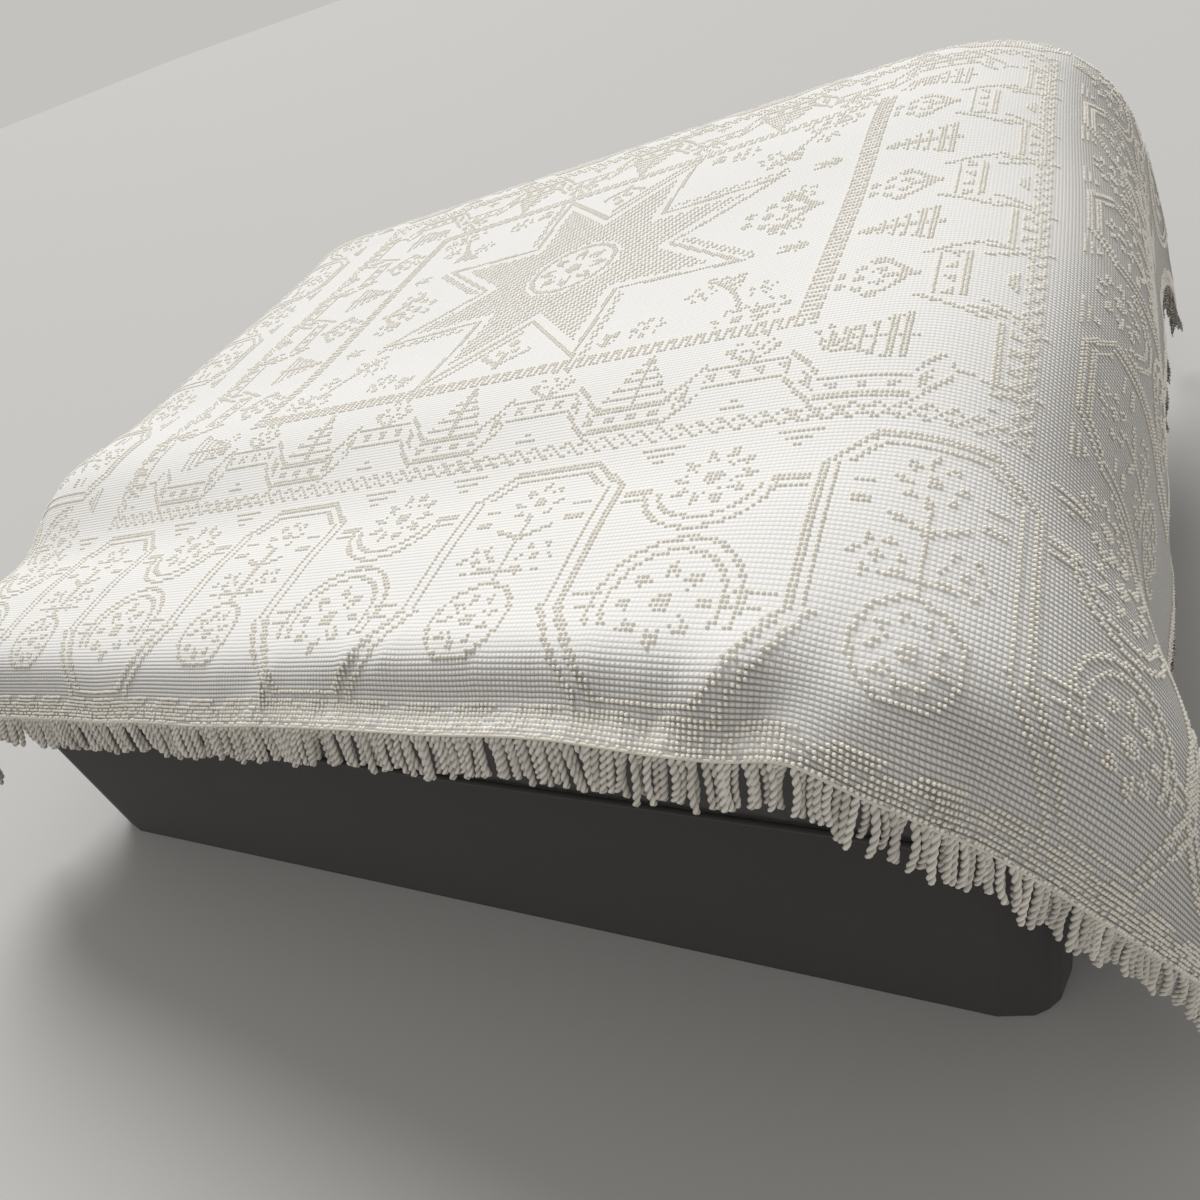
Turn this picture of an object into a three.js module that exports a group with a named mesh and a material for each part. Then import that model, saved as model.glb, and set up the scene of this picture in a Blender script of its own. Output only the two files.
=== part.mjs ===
import * as THREE from "three";

// A candlewick bedspread over a plain bed. Millimetres, +Z up, floor at z = 0.
// X runs along the bed, the foot end at +X. Y runs across it, the near long side at -Y.

// cloth, measured flat
const CLOTH_LENGTH = 2794; // foot hem to head hem, along the bed
const CLOTH_WIDTH = 2055; // near hem to far hem, across the bed
const CLOTH_THICK = 3.0; // ground cloth with its tufts
const CREST = 803; // cloth length from the foot hem to the line every section is hung from
const STEPS = 300; // steps that a section is added up in

// bed
const FLOOR_DROP = 738; // from the section datum down to the floor
const BASE_HEIGHT = 400;
const BASE_INSET = 18;
const MATTRESS = { foot: 292, head: -1690, near: -772, far: 752, corner: 90 };
const LAP = 0.4; // gap between pieces that lie on one another
const CLEAR = { middle: 3.4, edge: 20, reach: 220 }; // gap between mattress and cloth, inwards from the edge

// fringe combs
const FRINGE = { drop: 60, header: 8, thick: 4, pitch: 60, gap: 10, corner: 20 };

// Sections across the cloth. at: flat distance from the near hem. y, z: where the section's
// crest lies. slope: fall towards the head. drop: steepest angle of the foot drop. tuck: how
// much steeper it gets by the hem. roll, wide: flat distance of the foot roll from the foot
// hem, and its half width. lean: how far the drop leans back per unit of fall. head: steepest
// angle of the head drop.
const SECTIONS = [
  { at: 0, y: -904, z: -46, slope: 8.7, drop: 58.8, tuck: 0, roll: 747, wide: 412, lean: 0.256, head: 62 },
  { at: 112, y: -822, z: 15, slope: 6.9, drop: 58.2, tuck: 10, roll: 659, wide: 435, lean: 0.179, head: 70 },
  { at: 243, y: -682, z: 41, slope: 6.4, drop: 47.4, tuck: 24, roll: 672, wide: 304, lean: 0.053, head: 78 },
  { at: 392, y: -528, z: 51, slope: 6.4, drop: 53.0, tuck: 28, roll: 643, wide: 234, lean: 0.014, head: 82 },
  { at: 579, y: -337, z: 74, slope: 4.6, drop: 75.3, tuck: 6, roll: 576, wide: 305, lean: -0.107, head: 82 },
  { at: 803, y: -108, z: 87, slope: 5.1, drop: 83.0, tuck: 0, roll: 528, wide: 355, lean: -0.107, head: 82 },
  { at: 1046, y: 132, z: 99, slope: 5.0, drop: 88.5, tuck: 0, roll: 507, wide: 388, lean: -0.12, head: 82 },
  { at: 1308, y: 391, z: 127, slope: 5.7, drop: 82.0, tuck: 0, roll: 534, wide: 400, lean: -0.107, head: 82 },
  { at: 1541, y: 622, z: 131, slope: 5.3, drop: 79.0, tuck: 0, roll: 545, wide: 385, lean: -0.11, head: 80 },
  { at: 1681, y: 758, z: 133, slope: 5.0, drop: 74.0, tuck: 6, roll: 545, wide: 370, lean: -0.11, head: 74 },
  { at: 1821, y: 886, z: 92, slope: 5.0, drop: 66.0, tuck: 14, roll: 535, wide: 350, lean: -0.06, head: 66 },
  { at: 1943, y: 967, z: 8, slope: 5.0, drop: 58.0, tuck: 20, roll: 530, wide: 340, lean: -0.02, head: 60 },
  { at: 2055, y: 1006, z: -95, slope: 5.0, drop: 54.0, tuck: 22, roll: 530, wide: 330, lean: 0.0, head: 56 },
];
const TUCK = { from: 400, wide: 200 };
const HEAD_ROLL = { from: 280, wide: 170 };

// Soft folds. along, across: flat place of the fold's middle. long, wide: half sizes.
// turn: angle of its length from the hem-to-hem line. lift: height off the cloth, down if
// negative. sink: fall straight down.
const FOLDS = [
  { along: 837, across: 80, long: 110, wide: 36, turn: 122, lift: 10, sink: 0 },
  { along: 782, across: 48, long: 110, wide: 38, turn: 116, lift: -9, sink: 0 },
  { along: 900, across: 0, long: 95, wide: 90, turn: 0, lift: 0, sink: 12 },
  { along: 768, across: 0, long: 46, wide: 70, turn: 0, lift: 0, sink: -17 },
  { along: 665, across: 20, long: 90, wide: 40, turn: 0, lift: 7, sink: 0 },
  { along: 585, across: 60, long: 90, wide: 40, turn: 55, lift: -7, sink: 0 },
  { along: 1000, across: 70, long: 90, wide: 34, turn: 100, lift: 4, sink: 0 },
  { along: 1170, across: 0, long: 110, wide: 80, turn: 0, lift: 0, sink: 4 },
  { along: 1325, across: 70, long: 80, wide: 30, turn: 114, lift: 5, sink: 4 },
  { along: 1460, across: 55, long: 80, wide: 32, turn: 110, lift: 4, sink: 0 },
  { along: 1600, across: 0, long: 90, wide: 80, turn: 0, lift: 0, sink: 4 },
  { along: 1850, across: 40, long: 120, wide: 60, turn: 70, lift: 5, sink: 4 },
];

const radians = Math.PI / 180;

function ease(value) {
  const w = Math.min(Math.max(value, 0), 1);
  return w * w * w * (w * (6 * w - 15) + 10);
}

// smooth curve through the rows of one column
function column(name, at) {
  const n = SECTIONS.length;
  let i = 0;
  while (i < n - 2 && at >= SECTIONS[i + 1].at) i += 1;
  const step = (k) => SECTIONS[k + 1].at - SECTIONS[k].at;
  const rise = (k) => (SECTIONS[k + 1][name] - SECTIONS[k][name]) / step(k);
  const tangent = (k) => {
    if (k === 0) return rise(0);
    if (k === n - 1) return rise(n - 2);
    return (rise(k - 1) * step(k) + rise(k) * step(k - 1)) / (step(k - 1) + step(k));
  };
  const h = step(i);
  const w = (at - SECTIONS[i].at) / h;
  const a = 2 * w ** 3 - 3 * w ** 2 + 1;
  const b = w ** 3 - 2 * w ** 2 + w;
  const c = 3 * w ** 2 - 2 * w ** 3;
  const d = w ** 3 - w ** 2;
  return a * SECTIONS[i][name] + b * h * tangent(i) + c * SECTIONS[i + 1][name] + d * h * tangent(i + 1);
}

// one section: run and height at every step from the foot hem to the head hem
function section(at) {
  const row = {};
  for (const name of ["y", "z", "slope", "drop", "tuck", "roll", "wide", "lean", "head"]) {
    row[name] = column(name, at);
  }
  const ds = CLOTH_LENGTH / STEPS;
  const run = [0];
  const height = [0];
  for (let i = 0; i < STEPS; i += 1) {
    const s = (i + 0.5) * ds;
    const foot = ease((row.roll + row.wide - s) / (2 * row.wide)) * row.drop;
    const tuck = ease((TUCK.from + TUCK.wide - s) / (2 * TUCK.wide)) * row.tuck;
    const top = row.slope * ease((s - CREST + 235) / 470);
    const headStart = CLOTH_LENGTH - HEAD_ROLL.from - HEAD_ROLL.wide;
    const head = ease((s - headStart) / (2 * HEAD_ROLL.wide)) * (row.head - row.slope);
    const angle = (foot + tuck - top - head) * radians;
    run.push(run[i] + Math.cos(angle) * ds);
    height.push(height[i] + Math.sin(angle) * ds);
  }
  const crestRun = sample(run, CREST / ds);
  const crestHeight = sample(height, CREST / ds);
  row.run = run.map((value) => crestRun - value);
  row.height = height.map((value) => value - crestHeight);
  row.ds = ds;
  return row;
}

function sample(list, index) {
  const i = Math.min(Math.floor(index), list.length - 2);
  return list[i] + (list[i + 1] - list[i]) * (index - i);
}

// what the folds add to a place: height off the cloth, and fall
function fold(s, t) {
  let lift = 0;
  let sink = 0;
  for (const f of FOLDS) {
    const c = Math.cos(f.turn * radians);
    const n = Math.sin(f.turn * radians);
    const u = ((s - f.along) * c + (t - f.across) * n) / f.long;
    const v = ((t - f.across) * c - (s - f.along) * n) / f.wide;
    const share = Math.exp(-u * u - v * v);
    lift += f.lift * share;
    sink += f.sink * share;
  }
  return { lift, sink };
}

const sectionCache = new Map();
function sectionAt(t) {
  if (!sectionCache.has(t)) sectionCache.set(t, section(t));
  return sectionCache.get(t);
}

// a place on the middle of the cloth from its flat place
function clothPoint(s, t) {
  const row = sectionAt(t);
  const fall = sample(row.height, s / row.ds);
  const q = 1 / Math.hypot(1, row.lean);
  const x = sample(row.run, s / row.ds);
  const y = row.y - fall * row.lean * q;
  return new THREE.Vector3(x, y, row.z + fall * q + FLOOR_DROP);
}

function spread(from, to, cells) {
  return Array.from({ length: cells + 1 }, (_, i) => from + ((to - from) * i) / cells);
}

function gridNormals(points) {
  const rows = points.length;
  const cols = points[0].length;
  return points.map((row, i) => row.map((_, j) => {
    const a = points[Math.min(i + 1, rows - 1)][j].clone().sub(points[Math.max(i - 1, 0)][j]);
    const b = row[Math.min(j + 1, cols - 1)].clone().sub(row[Math.max(j - 1, 0)]);
    return a.cross(b).normalize();
  }));
}

// closed solid between two grids of points, over the cells that keep() names
function shell(upper, lower, keep = () => true) {
  const rows = upper.length;
  const cols = upper[0].length;
  const positions = [];
  for (const grid of [upper, lower]) {
    for (const row of grid) for (const p of row) positions.push(p.x, p.y, p.z);
  }
  const up = (i, j) => i * cols + j;
  const down = (i, j) => rows * cols + i * cols + j;
  const index = [];
  const quad = (a, b, c, d) => index.push(a, b, c, a, c, d);
  const has = (i, j) => i >= 0 && j >= 0 && i < rows - 1 && j < cols - 1 && keep(i, j);
  for (let i = 0; i < rows - 1; i += 1) {
    for (let j = 0; j < cols - 1; j += 1) {
      if (!has(i, j)) continue;
      quad(up(i, j), up(i + 1, j), up(i + 1, j + 1), up(i, j + 1));
      quad(down(i, j), down(i, j + 1), down(i + 1, j + 1), down(i + 1, j));
      if (!has(i - 1, j)) quad(up(i, j + 1), down(i, j + 1), down(i, j), up(i, j));
      if (!has(i + 1, j)) quad(up(i + 1, j), down(i + 1, j), down(i + 1, j + 1), up(i + 1, j + 1));
      if (!has(i, j - 1)) quad(up(i, j), down(i, j), down(i + 1, j), up(i + 1, j));
      if (!has(i, j + 1)) quad(up(i + 1, j + 1), down(i + 1, j + 1), down(i, j + 1), up(i, j + 1));
    }
  }
  const geometry = new THREE.BufferGeometry();
  geometry.setAttribute("position", new THREE.Float32BufferAttribute(positions, 3));
  geometry.setIndex(index);
  geometry.computeVertexNormals();
  return geometry;
}

function offset(points, normals, distance) {
  return points.map((row, i) => row.map((p, j) => p.clone().addScaledVector(normals[i][j], distance)));
}

// the middle of the cloth as a grid, folds and all
function clothGrid() {
  const nearAndTop = [...spread(0, 420, 9), ...spread(420, 1480, 13).slice(1)];
  const across = [...nearAndTop, ...spread(1480, CLOTH_WIDTH, 10).slice(1)];
  const footAndTop = [...spread(0, 1080, 24), ...spread(1080, 2250, 14).slice(1)];
  const along = [...footAndTop, ...spread(2250, CLOTH_LENGTH, 10).slice(1)];
  const bare = along.map((s) => across.map((t) => clothPoint(s, t)));
  const bareNormals = gridNormals(bare);
  const points = bare.map((row, i) => row.map((p, j) => {
    const { lift, sink } = fold(along[i], across[j]);
    const place = p.clone().addScaledVector(bareNormals[i][j], -lift);
    place.z -= sink;
    return place;
  }));
  const normals = gridNormals(points).map((row) => row.map((n) => n.negate()));
  return { along, across, points, normals };
}

const cloth = clothGrid();

function cell(lines, value) {
  let i = 0;
  while (i < lines.length - 2 && lines[i + 1] <= value) i += 1;
  return [i, (value - lines[i]) / (lines[i + 1] - lines[i])];
}

// a place on the cloth's own facets from its flat place
function clothFacet(s, t) {
  const [i, u] = cell(cloth.along, s);
  const [j, v] = cell(cloth.across, t);
  const start = cloth.points[i][j];
  const end = cloth.points[i + 1][j + 1];
  const turn = u > v ? cloth.points[i + 1][j] : cloth.points[i][j + 1];
  const place = start.clone().addScaledVector(turn.clone().sub(start), Math.max(u, v));
  return place.addScaledVector(end.clone().sub(turn), Math.min(u, v));
}

function bedspread() {
  const outer = offset(cloth.points, cloth.normals, CLOTH_THICK / 2);
  const inner = offset(cloth.points, cloth.normals, -CLOTH_THICK / 2);
  return shell(inner, outer);
}

// edges of the teeth along a hem, a whole number of teeth to each facet of the cloth
function toothMarks(lines, inset) {
  const marks = [];
  for (let i = 0; i < lines.length - 1; i += 1) {
    const span = lines[i + 1] - lines[i];
    const teeth = Math.max(1, Math.round(span / FRINGE.pitch));
    for (let k = 0; k < teeth; k += 1) {
      marks.push(lines[i] + (span * k) / teeth + FRINGE.gap / 2);
      marks.push(lines[i] + (span * (k + 1)) / teeth - FRINGE.gap / 2);
    }
  }
  marks[0] = Math.max(marks[0], inset);
  marks[marks.length - 1] = Math.min(marks[marks.length - 1], lines[lines.length - 1] - inset);
  return marks;
}

// one comb of fringe: a strip under the hem and the teeth that hang from it.
// place() gives the cloth at a distance along the hem and a distance in from it.
// under is how far the strip lies below the cloth.
function comb(lines, inset, under, place, hang) {
  const depth = CLOTH_THICK / 2 + under + FRINGE.thick / 2;
  const rows = toothMarks(lines, inset).map((m) => {
    const hem = place(m, 0);
    const inward = place(m, FRINGE.header).sub(hem).normalize();
    const side = place(m + 1, 0).sub(place(m - 1, 0)).normalize();
    const face = side.clone().cross(inward).normalize();
    if (face.z < 0) face.negate();
    const low = hem.addScaledVector(face, -depth);
    const top = low.clone().addScaledVector(inward, FRINGE.header);
    const tip = low.clone().addScaledVector(hang, FRINGE.drop);
    const outward = hang.clone().cross(side).normalize();
    if (outward.dot(inward) > 0) outward.negate();
    const bend = face.clone().add(outward).normalize();
    return { points: [top, low, tip], normals: [face, bend, outward] };
  });
  const points = rows.map((row) => row.points);
  const normals = rows.map((row) => row.normals);
  const outer = offset(points, normals, FRINGE.thick / 2);
  const inner = offset(points, normals, -FRINGE.thick / 2);
  const turned = gridNormals(points)[2][0].dot(normals[2][0]) > 0;
  const keep = (i, j) => j === 0 || i % 2 === 0;
  return turned ? shell(outer, inner, keep) : shell(inner, outer, keep);
}

// height of the cloth's facets over a place on the bed
function bedHeight(x, y) {
  let height = -1;
  for (let i = 0; i < cloth.along.length - 1; i += 1) {
    for (let j = 0; j < cloth.across.length - 1; j += 1) {
      const a = cloth.points[i][j];
      const c = cloth.points[i + 1][j + 1];
      for (const b of [cloth.points[i + 1][j], cloth.points[i][j + 1]]) {
        const area = (b.x - a.x) * (c.y - a.y) - (c.x - a.x) * (b.y - a.y);
        const u = ((x - a.x) * (c.y - a.y) - (c.x - a.x) * (y - a.y)) / area;
        const v = ((b.x - a.x) * (y - a.y) - (x - a.x) * (b.y - a.y)) / area;
        if (u < 0 || v < 0 || u + v > 1) continue;
        height = Math.max(height, a.z + u * (b.z - a.z) + v * (c.z - a.z));
      }
    }
  }
  return height;
}

// plan of a box with rounded corners, as a grid of places
function roundedPlan(box, cellsX, cellsY) {
  const hx = (box.foot - box.head) / 2;
  const hy = (box.far - box.near) / 2;
  const cx = (box.foot + box.head) / 2;
  const cy = (box.far + box.near) / 2;
  const lines = (half, cells) => {
    const edge = [half, half - box.corner * 0.4, half - box.corner];
    const inside = spread(-edge[2], edge[2], cells).slice(1, -1);
    return [-edge[0], -edge[1], -edge[2], ...inside, edge[2], edge[1], edge[0]];
  };
  return lines(hx, cellsX).map((x) => lines(hy, cellsY).map((y) => {
    const dx = Math.max(Math.abs(x) - (hx - box.corner), 0);
    const dy = Math.max(Math.abs(y) - (hy - box.corner), 0);
    const k = dx > 0 && dy > 0 ? Math.max(dx, dy) / Math.hypot(dx, dy) : 1;
    const px = Math.abs(x) - dx + dx * k;
    const py = Math.abs(y) - dy + dy * k;
    return [cx + Math.sign(x) * px, cy + Math.sign(y) * py];
  }));
}

function mattress() {
  const plan = roundedPlan(MATTRESS, 30, 24);
  const bottom = BASE_HEIGHT + LAP;
  const upper = plan.map((row) => row.map(([x, y]) => {
    const inX = Math.min(MATTRESS.foot - x, x - MATTRESS.head);
    const inY = Math.min(MATTRESS.far - y, y - MATTRESS.near);
    const share = 1 - ease(Math.min(inX, inY) / CLEAR.reach);
    const lift = CLOTH_THICK / 2 + CLEAR.middle + (CLEAR.edge - CLEAR.middle) * share;
    return new THREE.Vector3(x, y, bedHeight(x, y) - lift);
  }));
  const lower = plan.map((row) => row.map(([x, y]) => new THREE.Vector3(x, y, bottom)));
  return shell(upper, lower);
}

function bedBase() {
  const box = {
    foot: MATTRESS.foot - BASE_INSET,
    head: MATTRESS.head + BASE_INSET,
    near: MATTRESS.near + BASE_INSET,
    far: MATTRESS.far - BASE_INSET,
    corner: MATTRESS.corner,
  };
  const plan = roundedPlan(box, 2, 2);
  const upper = plan.map((row) => row.map(([x, y]) => new THREE.Vector3(x, y, BASE_HEIGHT)));
  const lower = plan.map((row) => row.map(([x, y]) => new THREE.Vector3(x, y, 0)));
  return shell(upper, lower);
}

const group = new THREE.Group();
group.name = "bed_with_candlewick_spread";

function add(name, geometry, colour, roughness) {
  const material = new THREE.MeshStandardMaterial({ color: colour, roughness, metalness: 0 });
  material.name = name;
  const mesh = new THREE.Mesh(geometry, material);
  mesh.name = name;
  group.add(mesh);
}

const nearHem = (m, inward) => clothFacet(m, inward);
const footHem = (m, inward) => clothFacet(inward, m);
const farHem = (m, inward) => clothFacet(m, CLOTH_WIDTH - inward);

add("bedspread", bedspread(), 0xe9e5da, 0.95);
add("fringeFront", comb(cloth.along, 4, 1.4, nearHem, new THREE.Vector3(-0.05, -0.2, -0.98)), 0xe3dccb, 0.95);
add("fringeFoot", comb(cloth.across, FRINGE.corner, 2.4, footHem, new THREE.Vector3(0.08, 0, -1)), 0xe3dccb, 0.95);
add("fringeBack", comb(cloth.along, 4, 0.9, farHem, new THREE.Vector3(0, 0.12, -0.99)), 0xe3dccb, 0.95);
add("mattress", mattress(), 0xd9d6cf, 0.9);
add("bedBase", bedBase(), 0xb9b2a6, 0.9);

// the origin is put at the middle of the object's box, on the floor
const box = new THREE.Box3().setFromObject(group);
const middle = box.getCenter(new THREE.Vector3());
for (const mesh of group.children) mesh.geometry.translate(-middle.x, -middle.y, -box.min.z);

export default group;
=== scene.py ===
import math
import bpy
import bmesh
import numpy as np
from mathutils import Matrix, Vector


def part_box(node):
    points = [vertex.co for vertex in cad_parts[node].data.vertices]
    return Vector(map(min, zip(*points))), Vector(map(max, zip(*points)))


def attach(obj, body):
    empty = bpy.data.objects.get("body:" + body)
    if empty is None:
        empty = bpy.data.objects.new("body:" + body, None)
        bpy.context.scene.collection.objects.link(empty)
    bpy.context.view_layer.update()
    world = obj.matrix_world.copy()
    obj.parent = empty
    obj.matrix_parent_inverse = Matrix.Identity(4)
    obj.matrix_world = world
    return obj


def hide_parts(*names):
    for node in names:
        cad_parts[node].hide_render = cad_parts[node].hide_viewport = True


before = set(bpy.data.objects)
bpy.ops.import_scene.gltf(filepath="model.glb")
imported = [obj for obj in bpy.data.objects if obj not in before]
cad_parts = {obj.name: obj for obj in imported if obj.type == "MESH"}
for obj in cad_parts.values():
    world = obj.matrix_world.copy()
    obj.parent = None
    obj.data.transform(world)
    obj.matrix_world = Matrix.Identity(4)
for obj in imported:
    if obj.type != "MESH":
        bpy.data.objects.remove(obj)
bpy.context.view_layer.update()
dice = np.random.default_rng(11)

# how the cloth hangs

cloth = {
    "length": 2.794,       # foot hem to head hem
    "width": 2.055,        # near hem to far hem
    "crest": 0.803,        # flat distance of the crest from the foot hem
    "crestHalf": 0.235,    # half the length over which the slope to the head sets in
    "thick": 0.0018,
    "cells": (164, 120),
    "tuckFrom": 0.400,
    "tuckWide": 0.200,
    "headFrom": 0.280,
    "headWide": 0.170,
    "steps": 600,
}

# across the cloth: flat distance from the near hem, crest place, slope to the head, drop angle
# and what it gains by the hem, distance and half width of the foot roll, lean of the drop,
# head drop angle. Rows 1 to 8 and row 10 began as the output of a least-squares fit, and so did
# the head drop angle of 82. The other rows, the gain by the hem, the other head drop angles and
# changes to rows 6, 7, 8 and 10 were given one by one
sectionColumns = ("at", "y", "z", "slope", "drop", "tuck", "roll", "wide", "lean", "head")
sectionRows = [
    (0.000, -0.904, -0.046, 8.7, 58.8, 0, 0.747, 0.412, 0.256, 62),
    (0.112, -0.822, 0.015, 6.9, 58.2, 10, 0.659, 0.435, 0.179, 70),
    (0.243, -0.682, 0.041, 6.4, 47.4, 24, 0.672, 0.304, 0.053, 78),
    (0.392, -0.528, 0.051, 6.4, 53.0, 28, 0.643, 0.234, 0.014, 82),
    (0.579, -0.337, 0.074, 4.6, 75.3, 6, 0.576, 0.305, -0.107, 82),
    (0.803, -0.108, 0.087, 5.1, 83.0, 0, 0.528, 0.355, -0.107, 82),
    (1.046, 0.132, 0.099, 5.0, 88.5, 0, 0.507, 0.388, -0.120, 82),
    (1.308, 0.391, 0.127, 5.7, 82.0, 0, 0.534, 0.400, -0.107, 82),
    (1.541, 0.622, 0.131, 5.3, 79.0, 0, 0.545, 0.385, -0.110, 80),
    (1.681, 0.758, 0.133, 5.0, 74.0, 6, 0.545, 0.370, -0.110, 74),
    (1.821, 0.886, 0.092, 5.0, 66.0, 14, 0.535, 0.350, -0.060, 66),
    (1.943, 0.967, 0.008, 5.0, 58.0, 20, 0.530, 0.340, -0.020, 60),
    (2.055, 1.006, -0.095, 5.0, 54.0, 22, 0.530, 0.330, 0.000, 56),
]

# soft folds and creases: flat place, half length, half width, turn, lift off the cloth, fall
foldRows = [
    # swell along the near drop, and the hollow under it
    (1.100, 0.105, 0.300, 0.040, 0, 0.0100, 0),
    (1.100, 0.030, 0.300, 0.030, 0, -0.0080, 0),
    # fold that comes off the bed near the foot, and the valley beside it
    (0.818, 0.100, 0.050, 0.024, 124, 0.0090, 0),
    (0.856, 0.050, 0.050, 0.030, 118, 0.0085, 0),
    (0.745, 0.100, 0.070, 0.036, 114, -0.0080, 0),
    (0.804, 0.020, 0.040, 0.020, 96, -0.0050, 0),
    (0.894, 0.038, 0.040, 0.012, 112, -0.0045, 0),
    (0.925, 0.030, 0.035, 0.014, 96, 0.0030, 0),
    # rise and fall of the hem
    (0.900, 0, 0.095, 0.090, 0, 0, 0.012),
    (0.768, 0, 0.046, 0.070, 0, 0, -0.017),
    (1.170, 0, 0.110, 0.080, 0, 0, 0.004),
    (1.600, 0, 0.090, 0.080, 0, 0, 0.004),
    # towards the foot corner
    (0.665, 0.020, 0.090, 0.034, 0, 0.0080, 0),
    (0.640, 0.030, 0.050, 0.018, 60, 0.0050, 0),
    (0.588, 0.048, 0.075, 0.026, 62, -0.0080, 0),
    (0.470, 0.110, 0.130, 0.040, 40, 0.0050, 0),
    (0.430, 0.040, 0.070, 0.022, 50, 0.0040, 0),
    # small creases of the near drop
    (0.975, 0.078, 0.050, 0.013, 98, 0.0040, 0),
    (1.040, 0.045, 0.045, 0.014, 80, -0.0035, 0),
    (1.110, 0.080, 0.050, 0.014, 74, 0.0035, 0),
    (1.245, 0.095, 0.045, 0.012, 112, 0.0040, 0),
    (1.310, 0.092, 0.048, 0.013, 115, 0.0065, 0),
    (1.338, 0.040, 0.040, 0.014, 104, -0.0045, 0),
    (1.455, 0.060, 0.050, 0.015, 110, 0.0050, 0),
    (1.490, 0.075, 0.045, 0.013, 106, -0.0030, 0),
    (1.560, 0.070, 0.050, 0.016, 96, 0.0035, 0),
    (1.850, 0.040, 0.120, 0.060, 70, 0.0050, 0.004),
    # fold at the far foot corner
    (0.330, 1.860, 0.200, 0.060, 158, -0.0180, 0),
    (0.170, 1.960, 0.160, 0.060, 150, 0.0100, 0),
]


def ease(value):
    w = np.clip(value, 0, 1)
    return w ** 3 * (w * (6 * w - 15) + 10)


def sectionRow(at):
    rows = np.array(sectionRows)
    stops = rows[:, 0]
    step = np.diff(stops)[:, None]
    rise = np.diff(rows, axis=0) / step
    inner = (rise[:-1] * step[:-1] + rise[1:] * step[1:]) / (step[:-1] + step[1:])
    tangent = np.vstack([rise[:1], inner, rise[-1:]])
    i = int(np.clip(np.searchsorted(stops, at, side="right") - 1, 0, len(stops) - 2))
    h = step[i]
    w = (at - stops[i]) / h
    value = (2 * w ** 3 - 3 * w ** 2 + 1) * rows[i] + (w ** 3 - 2 * w ** 2 + w) * h * tangent[i]
    value = value + (3 * w ** 2 - 2 * w ** 3) * rows[i + 1] + (w ** 3 - w ** 2) * h * tangent[i + 1]
    return dict(zip(sectionColumns, value))


def foldLift(s, t):
    lift = np.zeros(s.shape)
    sink = np.zeros(s.shape)
    for along, across, long, wide, turn, up, down in foldRows:
        c = math.cos(math.radians(turn))
        n = math.sin(math.radians(turn))
        u = ((s - along) * c + (t - across) * n) / long
        v = ((t - across) * c - (s - along) * n) / wide
        share = np.exp(-u * u - v * v)
        lift += up * share
        sink += down * share
    return lift, sink


def drapeGrid(alongValues, acrossValues):
    ds = cloth["length"] / cloth["steps"]
    knots = np.arange(cloth["steps"] + 1) * ds
    s = knots[:-1] + ds / 2
    places = np.zeros((len(alongValues), len(acrossValues), 3))
    for k, t in enumerate(acrossValues):
        row = sectionRow(min(max(t, 0), cloth["width"]))
        foot = ease((row["roll"] + row["wide"] - s) / (2 * row["wide"])) * row["drop"]
        tuckEnd = cloth["tuckFrom"] + cloth["tuckWide"]
        foot = foot + ease((tuckEnd - s) / (2 * cloth["tuckWide"])) * row["tuck"]
        top = row["slope"] * ease((s - cloth["crest"] + cloth["crestHalf"]) / (2 * cloth["crestHalf"]))
        headStart = cloth["length"] - cloth["headFrom"] - cloth["headWide"]
        head = ease((s - headStart) / (2 * cloth["headWide"])) * (row["head"] - row["slope"])
        angle = np.radians(foot - top - head)
        run = np.concatenate([[0], np.cumsum(np.cos(angle)) * ds])
        height = np.concatenate([[0], np.cumsum(np.sin(angle)) * ds])
        fall = np.interp(alongValues, knots, height) - np.interp(cloth["crest"], knots, height)
        q = 1 / math.hypot(1, row["lean"])
        places[:, k, 0] = np.interp(cloth["crest"], knots, run) - np.interp(alongValues, knots, run)
        places[:, k, 1] = row["y"] - fall * row["lean"] * q
        places[:, k, 2] = row["z"] + fall * q
    return places


def gridNormals(places):
    alongStep = np.gradient(places, axis=0)
    acrossStep = np.gradient(places, axis=1)
    normals = np.cross(acrossStep, alongStep)
    normals /= np.linalg.norm(normals, axis=2)[:, :, None]
    return normals


def hangCloth(alongValues, acrossValues):
    places = drapeGrid(alongValues, acrossValues)
    s, t = np.meshgrid(alongValues, acrossValues, indexing="ij")
    lift, sink = foldLift(s, t)
    places = places + gridNormals(places) * lift[:, :, None]
    places[:, :, 2] -= sink
    return places + clothShift, gridNormals(places)


clothShift = np.zeros(3)
roughPlaces = drapeGrid(np.linspace(0, cloth["length"], 120), np.linspace(0, cloth["width"], 90))
low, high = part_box("bedspread")
for axis in range(3):
    middle = (roughPlaces[:, :, axis].min() + roughPlaces[:, :, axis].max()) / 2
    clothShift[axis] = (low[axis] + high[axis]) / 2 - middle
print("drape ready, moved by", clothShift.round(4))

# which loops are tufted

weave = {
    "alongPitch": 0.00545,
    "acrossPitch": 0.006,
    "centre": (1.380, 1.0275),
    "comb": 0.0172,        # from bough to bough of a fir, and along a combed leaf
    "row": 0.012,          # from row to row in a filled triangle
}

# half widths of drawn lines
line = {
    "fine": 0.0036,        # one tuft wide
    "stem": 0.0040,
    "tip": 0.0042,
    "leaf": 0.0045,
    "outline": 0.0046,
    "slant": 0.0048,
    "ring": 0.0050,
    "corner": 0.0052,
}

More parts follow.
